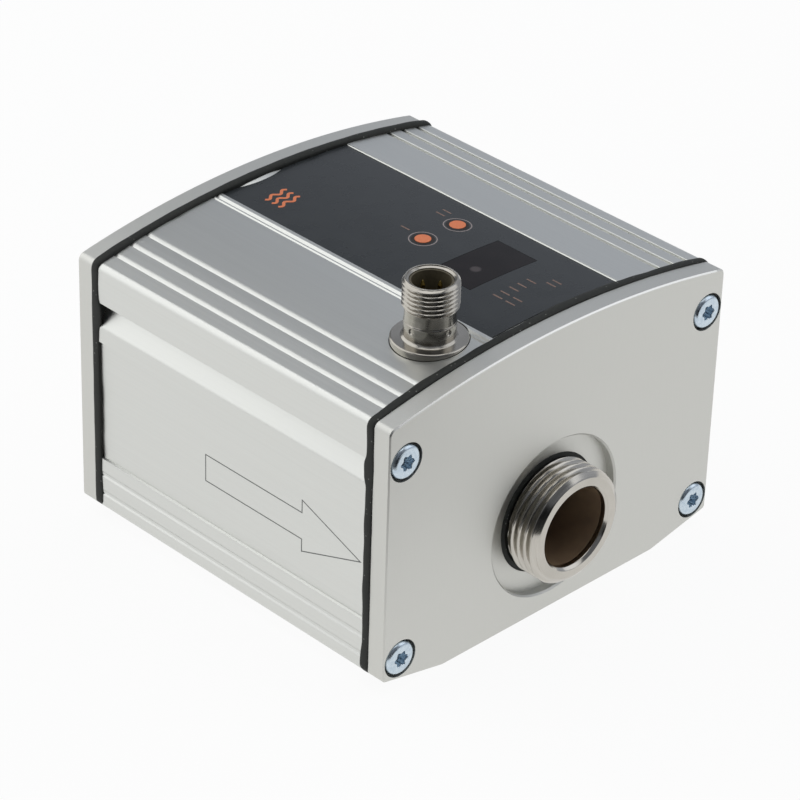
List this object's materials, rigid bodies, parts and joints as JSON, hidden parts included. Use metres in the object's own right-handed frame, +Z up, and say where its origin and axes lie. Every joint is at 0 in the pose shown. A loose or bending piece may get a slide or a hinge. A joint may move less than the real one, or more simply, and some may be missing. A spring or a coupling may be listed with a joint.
{
  "type": "ultrasonic flow meter",
  "caption": "Inline ultrasonic flow meter: fluted aluminium housing, gasketed end plates, threaded pipe ends, display panel with push keys and a round plug connector.",
  "frame": {"origin": "centre of the flat base, under the middle of the flow path", "axes": "+X along the flow to the outlet, +Y away from the connector side, +Z up"},
  "size_m": [0.1088, 0.099, 0.0827],
  "materials": {
    "anodised_aluminium": "satin",
    "satin_plate": "satin",
    "black_rubber": "matte",
    "zinc_steel": "satin",
    "stainless_steel": "satin",
    "nickel_plate": "satin",
    "amber_tube_plastic": "satin",
    "transducer_plastic": "matte",
    "retainer_brass": "satin",
    "circuit_board": "satin",
    "component_black": "matte",
    "panel_film": "gloss",
    "smoked_window": "gloss",
    "orange_key": "satin",
    "connector_black": "satin",
    "contact_gold": "satin",
    "lead_red": "satin"
  },
  "bodies": {
    "meter_body": {"board_header": "component_black", "connector_insert": "connector_black", "connector_leads": "lead_red", "connector_pins": "contact_gold", "connector_seal": "black_rubber", "connector_shell": "nickel_plate", "display_board": "circuit_board", "display_module": "component_black", "display_window": "smoked_window", "housing_extrusion": "anodised_aluminium", "inlet_collar_seal": "black_rubber", "inlet_end_plate": "satin_plate", "inlet_fitting": "stainless_steel", "inlet_gasket": "black_rubber", "inlet_plate_screws": "zinc_steel", "inlet_retainer": "retainer_brass", "inlet_transducer": "transducer_plastic", "inlet_transducer_lead": "lead_red", "main_board": "circuit_board", "main_board_parts": "component_black", "measuring_tube": "amber_tube_plastic", "mode_switch_body": "component_black", "outlet_collar_seal": "black_rubber", "outlet_end_plate": "satin_plate", "outlet_fitting": "stainless_steel", "outlet_gasket": "black_rubber", "outlet_plate_screws": "zinc_steel", "outlet_retainer": "retainer_brass", "outlet_transducer": "transducer_plastic", "outlet_transducer_lead": "lead_red", "panel_film": "panel_film", "set_switch_body": "component_black", "transducer_seals": "black_rubber", "tube_joint_seals": "black_rubber"},
    "mode_button": {"mode_key": "orange_key", "mode_switch_plunger": "component_black"},
    "set_button": {"set_key": "orange_key", "set_switch_plunger": "component_black"}
  },
  "joints": [
    {"name": "mode_key_press", "type": "slide", "parent": "meter_body", "child": "mode_button", "axis": [0, 0, -1], "range_m": [0, 0.0004], "stiffness_N_per_m": 5000},
    {"name": "set_key_press", "type": "slide", "parent": "meter_body", "child": "set_button", "axis": [0, 0, -1], "range_m": [0, 0.0004], "stiffness_N_per_m": 5000}
  ]
}
